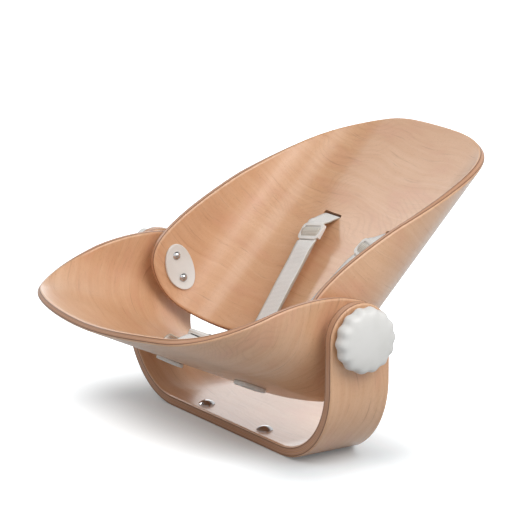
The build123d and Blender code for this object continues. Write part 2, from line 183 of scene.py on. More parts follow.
class Graph:
    """Node graph of one material or of the world."""

    def __init__(self, owner: Union[Material, bpy.types.World]) -> None:
        """Start with an empty graph.

        Args:
            owner: The material or world whose nodes are built.
        """
        owner.use_nodes = True
        self.tree = owner.node_tree
        self.tree.nodes.clear()

    def node(
        self,
        kind: str,
        settings: Optional[dict[str, Any]] = None,
        inputs: Optional[dict[Union[str, int], Any]] = None,
        output: Union[str, int] = 0,
    ) -> Term:
        """Add a node.

        Args:
            kind: The node's type.
            settings: Properties to set first.
            inputs: Values or links, by socket name or number.
            output: The output socket to return.

        Returns:
            The chosen output as a term.
        """
        made = self.tree.nodes.new(kind)
        for key, value in (settings or {}).items():
            setattr(made, key, value)
        for key, value in (inputs or {}).items():
            if isinstance(value, Term):
                self.tree.links.new(value.socket, made.inputs[key])
            else:
                made.inputs[key].default_value = value
        return Term(self, made.outputs[output] if made.outputs else None)

    def object_point(self, location: Vector = Vector(), turn: float = 0.0) -> tuple[Term, Term, Term]:
        """Object coordinates in a frame that is turned about Y.

        Args:
            location: The frame's origin.
            turn: The frame's turn about Y in radians.

        Returns:
            The three coordinates.
        """
        back = Matrix.Rotation(-turn, 3, "Y")
        point = self.node("ShaderNodeTexCoord", output="Object")
        inputs = {"Vector": point, "Location": back @ -location, "Rotation": (0, -turn, 0)}
        return self.split(self.node("ShaderNodeMapping", {"vector_type": "POINT"}, inputs))

    def split(self, vector: Term) -> tuple[Term, Term, Term]:
        """The three parts of a vector."""
        made = self.node("ShaderNodeSeparateXYZ", None, {0: vector}).socket.node
        return tuple(Term(self, made.outputs[i]) for i in range(3))

    def join(self, x: Any, y: Any, z: Any = 0.0) -> Term:
        """A vector from its three parts."""
        return self.node("ShaderNodeCombineXYZ", None, {0: x, 1: y, 2: z})

    def noise(self, vector: Term, detail: float, rough: float = 0.5, scale: float = 1.0) -> Term:
        """Noise between zero and one over a vector."""
        inputs = {"Vector": vector, "Scale": scale, "Detail": detail, "Roughness": rough}
        return self.node("ShaderNodeTexNoise", None, inputs)

    def mix(self, amount: Any, first: Any, second: Any, blend: Blend = Blend.MIX) -> Term:
        """Join two colours in a Mix node.

        Args:
            amount: How far the first colour gives way.
            first: The first colour.
            second: The second colour.
            blend: How they are joined.

        Returns:
            The joined colour.
        """
        pair = [c if isinstance(c, Term) else (*c, 1.0) for c in (first, second)]
        settings = {"data_type": "RGBA", "blend_type": blend.value}
        inputs = {MIX_AMOUNT: amount, MIX_FIRST: pair[0], MIX_SECOND: pair[1]}
        return self.node("ShaderNodeMix", settings, inputs, MIX_RESULT)

    def shade(self, colour: Any, amount: Term) -> Term:
        """Multiply a colour by a value."""
        grey = self.node("ShaderNodeCombineColor", None, {0: amount, 1: amount, 2: amount})
        return self.mix(1.0, colour, grey, Blend.MULTIPLY)

    def bump(self, height: Term, distance: float, strength: float) -> Term:
        """Normal from a height that runs from zero to one."""
        inputs = {"Height": height, "Distance": distance, "Strength": strength}
        return self.node("ShaderNodeBump", None, inputs)

    def camera_ray(self) -> Term:
        """One for camera rays, else zero."""
        return self.node("ShaderNodeLightPath", output="Is Camera Ray")

    def seen(self) -> Term:
        """One for camera, mirror and see-through rays, else zero."""
        names = ("Is Camera Ray", "Is Glossy Ray", "Is Transmission Ray")
        camera, glossy, clear = (self.node("ShaderNodeLightPath", output=name) for name in names)
        return camera.at_least(glossy).at_least(clear)

    def surface(self, **inputs: Any) -> None:
        """Finish a material with a Principled shader.

        Args:
            inputs: Socket values, with underscores for spaces.
        """
        named = {key.replace("_", " "): value for key, value in inputs.items()}
        shader = self.node("ShaderNodeBsdfPrincipled", None, named)
        self.node("ShaderNodeOutputMaterial", None, {"Surface": shader})


# Bent sections, which the plywood finish and the fitted pieces share


@dataclass(frozen=True)
class Bend:
    """Cross-section of a bent board, by its inner face, in a frame turned about the pivot.

    Attributes:
        slope: Turn of the frame about Y in degrees.
        height: Height of the frame's origin.
        wall: Half width at the upright walls.
        corner: Radius of the corners.
        depth: How far the floor lies below the frame's origin.
        crown: Radius of the floor across the board, or None for a flat floor.
        ply: Thickness of the board.
    """

    slope: float
    height: float
    wall: float
    corner: float
    depth: float
    crown: Optional[float]
    ply: float

    @property
    def lean(self) -> float:
        """Angle at which the crowned floor meets the corner."""
        if self.crown is None:
            return 0.0
        return asin((self.wall - self.corner) / (self.crown - self.corner))

    @property
    def corner_height(self) -> float:
        """Height of the corner's centre in the frame."""
        if self.crown is None:
            return self.corner - self.depth
        return self.crown - self.depth - (self.crown - self.corner) * cos(self.lean)

    @property
    def origin(self) -> Vector:
        """The frame's origin."""
        return Vector((0, 0, self.height))

    def at(self, u: float, y: float, n: float) -> Vector:
        """World point from millimetres along the board, across it and above the origin."""
        return self.origin + Matrix.Rotation(radians(self.slope), 3, "Y") @ (Vector((u, y, n)) * MM)

    def along(self, point: Vector) -> Vector:
        """Frame point from a world point."""
        return Matrix.Rotation(-radians(self.slope), 3, "Y") @ (point - self.origin)

    def wall_at(self, n: float) -> float:
        """Half width of the inner face at a height."""
        below = min(n - self.corner_height, 0.0)
        return self.wall - self.corner + sqrt(self.corner**2 - below**2)

    def section(self, graph: Graph) -> tuple[Term, Term, Term]:
        """Shader coordinates that follow the board.

        Args:
            graph: The graph to build in.

        Returns:
            The place along the board's axis, the place round its bend, and the depth from its inner face.
        """
        u, y, n = graph.object_point(self.origin, radians(self.slope))
        aside = (abs(y) - (self.wall - self.corner)).at_least(0.0)
        under = (self.corner_height - n).at_least(0.0)
        depth = (aside * aside + under * under).root() - self.corner
        if self.crown is not None:
            drop = self.crown - self.depth - n
            floor = (y * y + drop * drop).root() - self.crown
            on_floor = abs(y).below(drop * tan(self.lean))
            depth = depth + (floor - depth) * on_floor
        around = y + y.sign() * (n + self.depth).at_least(0.0)
        return u, around, depth


SHELL = {"height": PIVOT_HEIGHT, "ply": 8 * MM}
FRONT = Bend(slope=25.0, wall=162 * MM, corner=60 * MM, depth=80.4 * MM, crown=504 * MM, **SHELL)
BACK = Bend(slope=-45.5, wall=141.5 * MM, corner=66 * MM, depth=60 * MM, crown=1400 * MM, **SHELL)
BASE = Bend(
    slope=0.0, height=0.0, wall=180.6 * MM, corner=78.6 * MM, depth=-11.4 * MM, crown=None, ply=11.4 * MM
)


# Finishes


class Finish:
    """A material that its nodes describe."""

    def make(self, name: str) -> Material:
        """Build the material.

        Args:
            name: The material's name.

        Returns:
            The material.
        """
        made = bpy.data.materials.new(name)
        self.nodes(Graph(made))
        return made

    def nodes(self, graph: Graph) -> None:
        """Fill the material's empty graph."""
        raise NotImplementedError


@dataclass(frozen=True)
class BeechPly(Finish):
    """Lacquered beech plywood: veneer grain round the bend, layers on the trimmed edges.

    Attributes:
        bend: The board's cross-section.
        seed: Place in the noise, so that each board has its own veneer.
        layers: Number of plies.
        pale: Light veneer tone.
        warm: Darker veneer tone.
        blush: Tone of the pink clouds in the veneer.
        fleck: Tone of the pores and the fine lines.
        ring: Tone of the growth rings.
        edge: Tone of the trimmed edges.
        glue: Tone of the lines between the plies.
        sway: How far the streaks wander.
    """

    bend: Bend
    seed: float
    layers: int
    pale: Colour = (0.745, 0.460, 0.278)
    warm: Colour = (0.625, 0.328, 0.170)
    blush: Colour = (0.685, 0.360, 0.222)
    fleck: Colour = (0.32, 0.150, 0.080)
    ring: Colour = (0.44, 0.215, 0.125)
    edge: Colour = (0.60, 0.335, 0.215)
    glue: Colour = (0.17, 0.075, 0.042)
    sway: float = 80 * MM

    def nodes(self, graph: Graph) -> None:
        """Put the veneer on the faces and the plies on the trimmed edges.

        Args:
            graph: The material's empty graph.
        """
        u, around, depth = self.bend.section(graph)

        def grain(run: Term, across: int, along: int, shift: int, detail: float, rough: float = 0.5) -> Term:
            """Noise with so many cells per metre across the grain and along it, which runs round the bend."""
            return graph.noise(graph.join(run * across, around * along, self.seed + shift), detail, rough)

        wander = graph.noise(graph.join(u * 9 + self.seed, around * 6, self.seed), 2.0, 0.35) - 0.5
        swayed = u + wander * self.sway
        broad = grain(u, across=14, along=5, shift=0, detail=3.0)
        figure = grain(swayed, across=190, along=4, shift=3, detail=4.0, rough=0.6)
        lines = grain(swayed, across=420, along=16, shift=5, detail=3.0, rough=0.6).ramp(0.58, 0.78)
        pores = grain(u, across=2600, along=260, shift=7, detail=1.0).ramp(0.60, 0.74)
        clouds = grain(u, across=34, along=15, shift=11, detail=3.0, rough=0.55)
        tone = (broad - 0.5) * 0.8 + (figure - 0.5) * 1.2 + (clouds - 0.5) * 1.1 + 0.42
        veneer = graph.mix(tone, self.pale, self.warm)
        veneer = graph.mix(clouds.ramp(0.50, 0.70) * 0.45, veneer, self.blush)
        growth = grain(u, across=9, along=7, shift=17, detail=3.0, rough=0.42) * 30 + u * 130
        shown = grain(u, across=11, along=8, shift=19, detail=2.0).ramp(0.44, 0.68)
        ring = abs(growth.fraction() - 0.5).ramp(0.22, 0.50) * shown
        veneer = graph.mix(ring * 0.17, veneer, self.ring)
        veneer = graph.mix(lines * 0.42, veneer, self.fleck)
        veneer = graph.mix(pores * 0.30, veneer, self.fleck)
        layer, inside = self.plies(graph, u, around, depth)
        height = (1 - pores) * 0.6 + figure * 0.4
        graph.surface(
            Base_Color=graph.mix(inside, veneer, layer),
            Roughness=0.40 + inside * 0.14 + (broad - 0.5) * 0.10,
            Specular_IOR_Level=0.2,
            Coat_Weight=1.0 - inside * 0.55,
            Coat_Roughness=0.25,
            Normal=graph.bump(height, 0.05 * MM, 0.5),
        )

    def plies(self, graph: Graph, u: Term, around: Term, depth: Term) -> tuple[Term, Term]:
        """Layers as a trimmed edge shows them.

        Args:
            graph: The material's graph.
            u: Place along the board's axis.
            around: Place round its bend.
            depth: Depth from its inner face.

        Returns:
            Their colour, and one between the two face veneers, else zero.
        """
        step = depth / self.bend.ply * self.layers
        seam = abs(step.fraction() - 0.5).ramp(0.36, 0.47)
        odd = (step.whole() * 0.5).fraction() * 2
        streak = graph.noise(graph.join(u * 60, around * 60, depth * 2400), 2.0)
        layer = graph.mix(odd * 0.55 + (streak - 0.5) * 0.7, self.edge, self.warm)
        layer = graph.mix(seam * 0.60, layer, self.glue)
        half = self.layers / 2
        from_middle = abs(step - half)
        inside = from_middle.below(half - 0.8)
        face_line = inside * from_middle.ramp(half - 1.8, half - 1.2)
        return graph.mix(face_line * 0.75, layer, self.glue), inside


@dataclass(frozen=True)
class MouldedPlastic(Finish):
    """Satin moulded plastic with a fine spark texture and faint flow marks.

    Attributes:
        tone: Main colour.
        shadow: Colour of the flow marks.
        rough: Mean roughness.
    """

    tone: Colour
    shadow: Colour
    rough: float = 0.42

    def nodes(self, graph: Graph) -> None:
        """Lay flow marks and grain over the tone.

        Args:
            graph: The material's empty graph.
        """
        point = graph.node("ShaderNodeTexCoord", output="Object")
        flow = graph.noise(point, 3.0, scale=45.0)
        grain = graph.noise(point, 2.0, scale=2600.0)
        graph.surface(
            Base_Color=graph.mix(flow.ramp(0.35, 0.75), self.tone, self.shadow),
            Roughness=self.rough + (flow - 0.5) * 0.14,
            Normal=graph.bump(grain, 0.02 * MM, 0.4),
        )


@dataclass(frozen=True)
class Metal(Finish):
    """Bare or plated metal with fine scratches.

    Attributes:
        tone: Reflected colour.
        rough: Mean roughness.
        scratch: How much the scratches show.
    """

    tone: Colour
    rough: float
    scratch: float

    def nodes(self, graph: Graph) -> None:
        """Lay smears and scratches over the tone.

        Args:
            graph: The material's empty graph.
        """
        x, y, z = graph.object_point()
        lines = graph.noise(graph.join(x * 3000, y * 300, z * 900), 2.0)
        smear = graph.noise(graph.join(x * 160, y * 160, z * 160), 3.0)
        graph.surface(
            Base_Color=graph.shade(self.tone, 0.88 + smear * 0.2),
            Metallic=1.0,
            Roughness=self.rough + (smear - 0.5) * 0.10 + (lines - 0.5) * self.scratch,
            Normal=graph.bump(lines, 0.01 * MM, self.scratch),
        )


@dataclass(frozen=True)
class Webbing(Finish):
    """Ribbed woven webbing, read from the strap's own map of metres along and across.

    Attributes:
        tone: Colour of the yarn on the ribs.
        shadow: Colour between the ribs, painted shade in the grooves.
        selvedge: Colour of the edges.
        yarn: Distance between the lengthwise yarns.
        border: How far the selvedge reaches in, from its full to its last trace.
    """

    tone: Colour = (0.93, 0.92, 0.90)
    shadow: Colour = (0.66, 0.645, 0.62)
    selvedge: Colour = (0.66, 0.60, 0.51)
    yarn: float = 0.85 * MM
    border: tuple[float, float] = (0.5 * MM, 1.3 * MM)

    def nodes(self, graph: Graph) -> None:
        """Weave the ribs and the yarns.

        Args:
            graph: The material's empty graph.
        """
        along, aside, _ = graph.split(graph.node("ShaderNodeUVMap", {"uv_map": "webbing"}))
        drift = graph.noise(graph.join(along * 30, aside * 30), 2.0)
        rib = (along * (2 * pi / RIB_PITCH) + drift * 2.0).wave() * 0.5 + 0.5
        shift = (along * (pi / RIB_PITCH)).wave().sign() * (pi / 2)
        column = (aside * (2 * pi / self.yarn) + shift).wave() * 0.5 + 0.5
        fuzz = graph.noise(graph.join(along * 2200, aside * 2200), 2.0)
        weave = rib * 0.6 + column * 0.4
        # The grooves between the ribs and yarns get the shadow colour: painted shade.
        colour = graph.mix(weave.ramp(0.05, 0.75), self.shadow, self.tone)
        full, trace = (WEBBING_WIDTH / 2 - reach for reach in self.border)
        colour = graph.mix(abs(aside).ramp(trace, full) * 0.6, colour, self.selvedge)
        graph.surface(
            Base_Color=graph.shade(colour, 0.90 + fuzz * 0.2),
            Roughness=0.80 + (fuzz - 0.5) * 0.2,
            Sheen_Weight=0.25,
            Sheen_Roughness=0.5,
            Normal=graph.bump(weave * 0.7 + fuzz * 0.3, 0.25 * MM, 0.8),
        )


@dataclass(frozen=True)
class PressedFibre(Finish):
    """Dark pressed fibre of the friction washers, with flecks of lighter fibre."""

    tone: Colour = (0.045, 0.042, 0.040)
    fleck: Colour = (0.16, 0.14, 0.12)

    def nodes(self, graph: Graph) -> None:
        """Strew the flecks over the tone.

        Args:
            graph: The material's empty graph.
        """
        point = graph.node("ShaderNodeTexCoord", output="Object")
        fleck = graph.noise(point, 3.0, scale=1800.0)
        graph.surface(
            Base_Color=graph.mix(fleck.ramp(0.5, 0.75), self.tone, self.fleck),
            Roughness=0.7 + (fleck - 0.5) * 0.2,
            Normal=graph.bump(fleck, 0.05 * MM, 0.6),
        )


@dataclass(frozen=True)
class PaleFloor(Finish):
    """Floor that glows white for the camera, keeps the seat's shadow, and glows less near the base: a painted
    shadow.

    Attributes:
        dim: Colour by which it lights the seat.
        bright: Colour as it is seen.
        half: Half sizes of the stretch under the base where it glows least, the core of the painted shadow.
        reach: Distance from there to the full glow, over which the painted shadow fades.
    """

    dim: Colour = (0.44, 0.45, 0.46)
    bright: Colour = (0.77, 0.83, 0.865)
    half: tuple[float, float] = (36 * MM, 150 * MM)
    reach: float = 140 * MM

    def nodes(self, graph: Graph) -> None:
        """Add the glow to a plain floor.

        Args:
            graph: The material's empty graph.
        """
        x, y, _ = graph.object_point()
        beside, beyond = ((abs(c) - half).at_least(0.0) for c, half in zip((x, y), self.half))
        # Less glow near the base paints a shadow there, on top of the lamps' own shadow.
        past_painted_shadow = (beside * beside + beyond * beyond).root().ramp(0.0, self.reach)
        seen = graph.seen()
        lit = graph.node("ShaderNodeBsdfDiffuse", None, {"Color": graph.mix(seen, self.dim, self.bright)})
        strength = (graph.camera_ray() * 0.85 + seen * 0.15) * (0.11 + past_painted_shadow * 0.80)
        glow = graph.node("ShaderNodeEmission", None, {"Color": (1, 1, 1, 1), "Strength": strength})
        both = graph.node("ShaderNodeAddShader", None, {0: lit, 1: glow})
        graph.node("ShaderNodeOutputMaterial", None, {"Surface": both})


class Finishes:
    """Every material of the seat, made once."""

    def __init__(self) -> None:
        """Make the materials."""
        self.front_ply = BeechPly(FRONT, seed=11.3, layers=5).make("front_ply")
        self.back_ply = BeechPly(BACK, seed=27.9, layers=5).make("back_ply")
        self.base_ply = BeechPly(BASE, seed=43.1, layers=7).make("base_ply")
        white = MouldedPlastic(tone=(0.78, 0.77, 0.745), shadow=(0.74, 0.73, 0.70))
        self.white = white.make("white_plastic")
        grey = MouldedPlastic(tone=(0.30, 0.30, 0.30), shadow=(0.25, 0.25, 0.25))
        self.grey = grey.make("grey_plastic")
        self.chrome = Metal((0.52, 0.52, 0.53), rough=0.09, scratch=0.05).make("chrome")
        self.steel = Metal((0.56, 0.56, 0.57), rough=0.32, scratch=0.20).make("plated_steel")
        self.brass = Metal((0.71, 0.52, 0.23), rough=0.30, scratch=0.15).make("turned_brass")
        self.webbing = Webbing().make("ribbed_webbing")
        # The slider's hump is the webbing painted darker: painted shade of the recess in the slider's window.
        shaded_hump = Webbing(tone=(0.76, 0.72, 0.65), shadow=(0.44, 0.41, 0.35))
        self.shaded_hump = shaded_hump.make("folded_webbing")
        # The cut sides of the webbing are painted near black: painted shade of the gap between two layers.
        strap_edge = Webbing(tone=(0.24, 0.19, 0.13), shadow=(0.10, 0.08, 0.05))
        self.strap_edge = strap_edge.make("webbing_edge")
        self.fibre = PressedFibre().make("pressed_fibre")


# Mesh helpers


def add_object(name: str, data: bpy.types.ID) -> Object:
    """Put an object into the scene.

    Args:
        name: The object's name.
        data: Its mesh, lamp or camera.

    Returns:
        The object.
    """
    made = bpy.data.objects.new(name, data)
    bpy.context.scene.collection.objects.link(made)
    return made


def mesh_data(name: str, mesh: BMesh, finish: Material) -> bpy.types.Mesh:
    """Turn a bmesh into mesh data with a material.

    Args:
        name: The mesh's name.
        mesh: Its shape in metres, which is freed.
        finish: Its material.

    Returns:
        The mesh data.
    """
    data = bpy.data.meshes.new(name)
    mesh.to_mesh(data)
    mesh.free()
    data.materials.append(finish)
    return data


def add_piece(name: str, mesh: BMesh, finish: Material, body: str) -> Object:
    """Turn a bmesh into a shaded object that rides on a body.

    Args:
        name: The piece's name.
        mesh: Its shape in metres, which is freed.
        finish: Its material.
        body: The CAD body that carries it.

    Returns:
        The new object.
    """
    data = mesh_data(name, mesh, finish)
    data.shade_smooth()
    made = add_object(name, data)
    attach(made, body)
    log.info("%s: %d faces on %s", name, len(data.polygons), body)
    return made


def bevel(
    mesh: BMesh,
    geom: Iterable[Union[BMVert, BMEdge]],
    width: float,
    segments: int,
    rounding: Rounding = Rounding.EDGES,
) -> None:
    """Round edges or corners.

    Args:
        mesh: The mesh.
        geom: Its edges or points to round.
        width: Size of the rounding.
        segments: Steps of the rounding.
        rounding: Whether edges or corners are rounded.
    """
    bmesh.ops.bevel(
        mesh,
        geom=list(geom),
        offset=width,
        offset_type="OFFSET",
        segments=segments,
        profile=0.5,
        affect=rounding.value,
        clamp_overlap=rounding is Rounding.EDGES,
        material=-1,
    )


def soften(mesh: BMesh, width: float, segments: int = EDGE_STEPS) -> None:
    """Round the sharp edges of a mesh.

    Args:
        mesh: The mesh.
        width: Size of the rounding.
        segments: Steps of the rounding.
    """
    bmesh.ops.recalc_face_normals(mesh, faces=mesh.faces)
    shared = [edge for edge in mesh.edges if len(edge.link_faces) == 2]
    bevel(mesh, [edge for edge in shared if edge.calc_face_angle() > SHARP], width, segments)


def thicken(mesh: BMesh, thick: float) -> None:
    """Raise a flat sheet into a plate about its own plane.

    Args:
        mesh: The sheet.
        thick: The plate's thickness.
    """
    raised = bmesh.ops.extrude_face_region(mesh, geom=mesh.faces[:])["geom"]
    top = [v for v in raised if isinstance(v, BMVert)]
    bmesh.ops.translate(mesh, vec=(0, 0, thick), verts=top)
    bmesh.ops.translate(mesh, vec=(0, 0, -thick / 2), verts=mesh.verts)


def rounded_frame(length: float, width: float, corner: float, border: float, thick: float) -> BMesh:
    """A rounded rectangle of one border width, soft on its edges, about its own plane.

    Args:
        length: Its size along X.
        width: Its size along Y.
        corner: Radius of its corners.
        border: Width of its border.
        thick: Its thickness.

    Returns:
        The frame.
    """
    mesh = bmesh.new()
    bmesh.ops.create_grid(mesh, x_segments=1, y_segments=1, size=0.5)
    bmesh.ops.scale(mesh, vec=(length, width, 1), verts=mesh.verts)
    bevel(mesh, mesh.verts, corner, CORNER_STEPS, Rounding.CORNERS)
    inner = mesh.faces[:]
    bmesh.ops.inset_region(mesh, faces=inner, thickness=border, use_boundary=True, use_even_offset=True)
    bmesh.ops.delete(mesh, geom=inner, context="FACES")
    thicken(mesh, thick)
    soften(mesh, min(thick, border) * 0.3)
    return mesh


def add_block(mesh: BMesh, size: Vector, place: Vector, soft: float) -> None:
    """Add a rounded block to a mesh.

    Args:
        mesh: The mesh to add to.
        size: The block's length, width and height.
        place: Its centre.
        soft: Radius of its edges.
    """
    made = bmesh.ops.create_cube(mesh, size=1.0)["verts"]
    bmesh.ops.scale(mesh, vec=size, verts=made)
    bmesh.ops.translate(mesh, vec=place, verts=made)
    bevel(mesh, {e for v in made for e in v.link_edges}, soft, EDGE_STEPS)


def lay(mesh: BMesh, place: Matrix) -> None:
    """Move a mesh to its place and turn its faces outwards."""
    bmesh.ops.transform(mesh, matrix=place, verts=mesh.verts)
    bmesh.ops.recalc_face_normals(mesh, faces=mesh.faces)


def square_to(heading: Vector, wide: Vector) -> Vector:
    """The direction square to a heading that lies nearest to a given one."""
    return (wide - heading * wide.dot(heading)).normalized()


def smooth_curve(points: Sequence[Vector]) -> list[Vector]:
    """Close samples of a smooth curve through given points.

    Args:
        points: The points.

    Returns:
        The samples.
    """
    ends = [2 * points[0] - points[1], *points, 2 * points[-1] - points[-2]]
    samples: list[Vector] = []
    for before, start, end, after in zip(ends, ends[1:], ends[2:], ends[3:]):
        pairs = ((before, start), (start, end), (end, after))
        first, second, third = ((b - a).length ** 0.5 for a, b in pairs)
        out = ((start - before) / first - (end - before) / (first + second)) * second + (end - start)
        into = ((after - end) / third - (after - start) / (second + third)) * second + (end - start)
        for i in range(SPAN_STEPS):
            t = i / SPAN_STEPS
            samples.append(
                start * (2 * t**3 - 3 * t**2 + 1)
                + out * (t**3 - 2 * t**2 + t)
                + end * (3 * t**2 - 2 * t**3)
                + into * (t**3 - t**2)
            )
    return [*samples, points[-1]]


def smooth_route(points: Sequence[Vector], step: float) -> list[tuple[Vector, Vector, float]]:
    """Even samples along a smooth curve through given points.

    Args:
        points: The route's points.
        step: Distance between samples.

    Returns:
        Place, heading and distance run of each sample.
    """
    curve = smooth_curve(points)
    run = [0.0]
    for a, b in zip(curve, curve[1:]):
        run.append(run[-1] + (b - a).length)
    count = max(2, round(run[-1] / step))
    samples: list[tuple[Vector, Vector, float]] = []
    place = 0
    for i in range(count + 1):
        want = run[-1] * i / count
        while place < len(run) - 2 and run[place + 1] < want:
            place += 1
        part = (want - run[place]) / (run[place + 1] - run[place])
        start, end = curve[place : place + 2]
        samples.append((start.lerp(end, part), (end - start).normalized(), want))
    return samples


@dataclass
class Strap:
    """A length of flat webbing on a smooth route.

    Attributes:
        name: The piece's name.
        route: Listed points.
        wide: Direction across the strap.
        thick: Thickness of the webbing.
        relief: Height of the ribs.
        rows: Steps of the mesh on each rib.
        columns: Steps of the mesh across the strap.
    """

    name: str
    route: Sequence[Vector]
    wide: Vector
    thick: float = 1.3 * MM
    relief: float = 0.14 * MM
    rows: int = 4
    columns: int = 8

    def build(self, finish: Material, edge: Material, body: str) -> Object:
        """Lay a grid along the route, rib it and give it its thickness.

        Args:
            finish: The webbing material.
            edge: The material of its cut sides, painted dark as the shade in the gap between layers.
            body: The body that carries the strap.

        Returns:
            The strap.
        """
        samples = smooth_route(self.route, RIB_PITCH / self.rows)
        last = len(samples) - 1
        mesh = bmesh.new()
        bmesh.ops.create_grid(mesh, x_segments=last, y_segments=self.columns, size=0.5)
        layer = mesh.loops.layers.uv.new("webbing")
        flat: dict[BMVert, tuple[float, float]] = {}
        for vert in mesh.verts:
            place, heading, run = samples[round((vert.co.x + 0.5) * last)]
            across = square_to(heading, self.wide)
            aside = vert.co.y * WEBBING_WIDTH
            rib = self.relief * cos(2 * pi * run / RIB_PITCH)
            flat[vert] = (run, aside)
            vert.co = place + across * aside + heading.cross(across) * rib
        for face in mesh.faces:
            for loop in face.loops:
                loop[layer].uv = flat[loop.vert]
        made = add_piece(self.name, mesh, finish, body)
        wall = made.modifiers.new("thickness", "SOLIDIFY")
        wall.thickness = self.thick
        wall.offset = 0.0
        # The cut sides take the second, dark material: painted shade.
        wall.material_offset_rim = 1
        made.data.materials.append(edge)
        return made


# Sub-assemblies


@dataclass
class Assembly:
    """A group of the seat's pieces.

    Attributes:
        nodes: The CAD nodes by name.
        finishes: The materials.
    """

    nodes: dict[str, Object]
    finishes: Finishes

    def paint(self, finish: Material, *names: str) -> None:
        """Give CAD nodes a material.

        Args:
            finish: The material.
            names: The nodes.
        """
        for slots in (self.nodes[name].data.materials for name in names):
            slots.clear()
            slots.append(finish)


@dataclass
class Boards(Assembly):
    """The base frame and the two shells."""

    def dress(self) -> None:
        """Give each board its veneer."""
        self.paint(self.finishes.base_ply, "base_frame")
        self.paint(self.finishes.front_ply, "front_shell")
        self.paint(self.finishes.back_ply, "back_shell")


@dataclass(frozen=True)
class Ring:
    """One loop of the knob: share of the radius, height off the arm in millimetres, share of the wave."""

    reach: float
    height: float
    wave: float


@dataclass
class Knob:
    """Lobed hand knob, domed on its face.

    Attributes:
        radius: Mean radius.
        wave: How far the lobes stand out and the valleys go in.
        lobes: Number of lobes.
        steps: Points on each lobe.
        seat: Cross-axis place of the knob's back.
        rings: Its loops, from the back to the face.
    """

    radius: float = 32.8 * MM
    wave: float = 0.9 * MM
    lobes: int = 14
    steps: int = 12
    seat: float = 192.05 * MM
    rings: tuple[Ring, ...] = (
        Ring(0.48, 0.0, 0.0),
        Ring(0.48, 2.0, 0.0),
        Ring(0.90, 2.0, 0.7),
        Ring(0.97, 2.7, 1.0),
        Ring(1.00, 4.6, 1.0),
        Ring(1.00, 8.5, 1.0),
        Ring(0.985, 11.4, 1.0),
        Ring(0.955, 13.7, 1.0),
        Ring(0.91, 15.3, 0.9),
        Ring(0.84, 16.5, 0.6),
        Ring(0.72, 17.6, 0.3),
        Ring(0.50, 18.7, 0.06),
        Ring(0.25, 19.3, 0.0),
        Ring(0.02, 19.5, 0.0),
    )

    def build(self, side: Side, finish: Material) -> Object:
        """Stack the rings and close the two ends.

        Args:
            side: The side of the seat.
            finish: The knob's material.

        Returns:
            The knob.
        """
        mesh = bmesh.new()
        loop = bmesh.ops.create_circle(mesh, segments=self.lobes * self.steps, radius=1.0)["verts"]
        edges = list({e for v in loop for e in v.link_edges})
        bmesh.ops.contextual_create(mesh, geom=edges)
        self.shape(loop, self.rings[0])
        for ring in self.rings[1:]:
            raised = bmesh.ops.extrude_edge_only(mesh, edges=edges)["geom"]
            loop = [g for g in raised if isinstance(g, BMVert)]
            edges = [g for g in raised if isinstance(g, BMEdge)]
            self.shape(loop, ring)
        bmesh.ops.contextual_create(mesh, geom=edges)
        bmesh.ops.recalc_face_normals(mesh, faces=mesh.faces)
        turn = Matrix.Rotation(-side.value * pi / 2, 4, "X")
        place = Matrix.Translation((0, side.value * self.seat, PIVOT_HEIGHT))
        bmesh.ops.transform(mesh, matrix=place @ turn, verts=mesh.verts)
        return add_piece(side.node("lobed_knob"), mesh, finish, side.node("knob"))

    def shape(self, loop: Iterable[BMVert], ring: Ring) -> None:
        """Put a loop of points on one waved ring.

        Args:
            loop: The points.
            ring: The ring's reach, height and wave.
        """
        for vert in loop:
            out = Vector((vert.co.x, vert.co.y, 0)).normalized()
            lobe = cos(self.lobes * atan2(out.y, out.x))
            reach = self.radius * ring.reach + self.wave * ring.wave * lobe
            vert.co = out * reach + Vector((0, 0, ring.height * MM))


@dataclass
class OvalPlate:
    """Oval cover plate bent to the inside of the back shell's wing.

    Attributes:
        long: Length of the oval.
        short: Width of the oval.
        thick: Thickness.
        lean: Lean of its long axis towards the feet, in degrees.
        rise: How far its centre lies above the pivot along the long axis.
        lip: Width of the raised rim.
        dish: How far the face lies below the rim.
        soft: Rounding of its edges.
        band: Width of each of the two bands that let the face bend.
    """

    long: float = 51 * MM
    short: float = 32 * MM
    thick: float = 3 * MM
    lean: float = 16.0
    rise: float = 2.8 * MM
    lip: float = 1.5 * MM
    dish: float = 0.25 * MM
    soft: float = 0.9 * MM
    band: float = 3.4 * MM

    def build(self, side: Side, finish: Material) -> Object:
        """Draw the plate flat, round its rim and bend it on to the wing.

        Args:
            side: The side of the seat.
            finish: The plate's material.

        Returns:
            The plate.
        """
        mesh = bmesh.new()
        bmesh.ops.create_circle(mesh, cap_ends=True, segments=96, radius=0.5)
        bmesh.ops.scale(mesh, vec=(self.short, self.long, 1), verts=mesh.verts)
        bmesh.ops.translate(mesh, vec=(0, 0, self.thick / 2), verts=mesh.verts)
        thicken(mesh, self.thick)
        soften(mesh, self.soft, segments=4)
        face = max(mesh.faces, key=lambda f: f.calc_center_median().z)
        bmesh.ops.inset_region(mesh, faces=[face], thickness=self.lip, depth=-self.dish)
        for _ in range(2):
            bmesh.ops.inset_region(mesh, faces=[face], thickness=self.band, depth=0)
        tilt = radians(self.lean)
        short = Vector((cos(tilt), 0, sin(tilt)))
        long = Vector((-sin(tilt), 0, cos(tilt)))
        for vert in mesh.verts:
            place = BACK.origin + short * vert.co.x + long * (vert.co.y + self.rise)
            wall = BACK.wall_at(BACK.along(place).z)
            vert.co = Vector((place.x, side.value * (wall - vert.co.z), place.z))
        bmesh.ops.recalc_face_normals(mesh, faces=mesh.faces)
        return add_piece(side.node("oval_cover"), mesh, finish, "seat")


